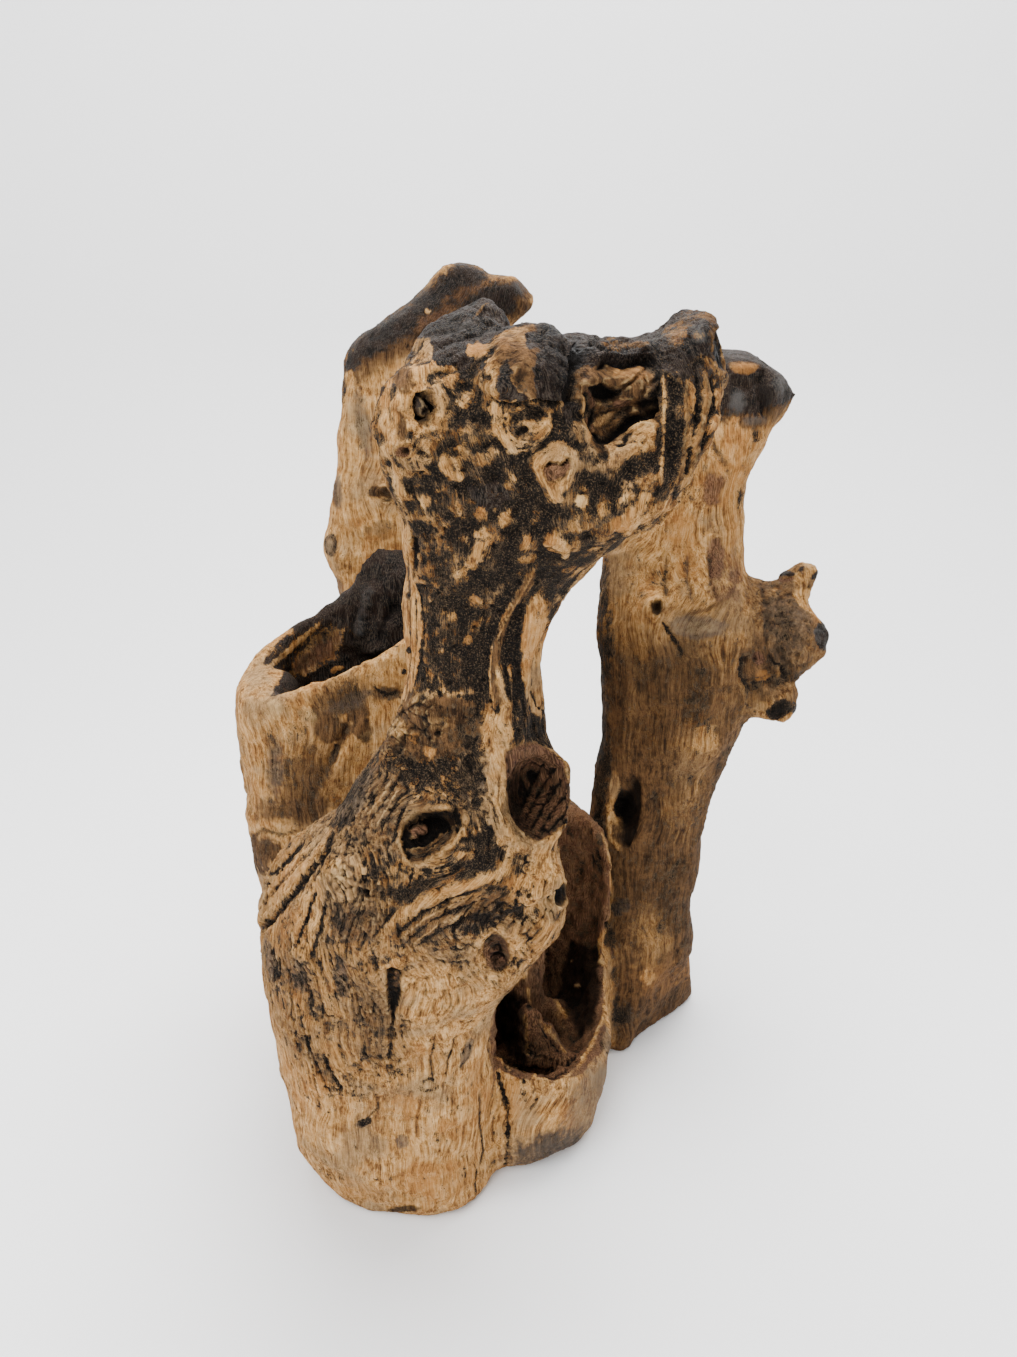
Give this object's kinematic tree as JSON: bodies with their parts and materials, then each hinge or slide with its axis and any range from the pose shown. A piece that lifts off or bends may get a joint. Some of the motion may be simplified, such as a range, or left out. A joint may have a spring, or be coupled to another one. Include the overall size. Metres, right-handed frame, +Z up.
{
  "type": "driftwood centerpiece",
  "caption": "Free-standing piece of weathered root wood, cut flat underneath, with a deep hollow at the front and gnarled, partly charred limbs and a hollow stump rising from the root crown.",
  "frame": {"origin": "On the table plane under the root crown, which is the plane of the flat cut underneath.", "axes": "+Z is up, +X is to the right of a person who looks at the front, and the front with the broken, charred head faces -Y."},
  "size_m": [0.2744, 0.2472, 0.3887],
  "materials": {
    "driftwood": "dry, bare and weathered, with tan sapwood, dark bark remains and charred broken ends"
  },
  "bodies": {
    "root": {"root_crown": "driftwood", "front_limb": "driftwood", "hollow_stump": "driftwood", "tall_limb": "driftwood", "right_limb": "driftwood", "side_spur": "driftwood"}
  },
  "joints": []
}
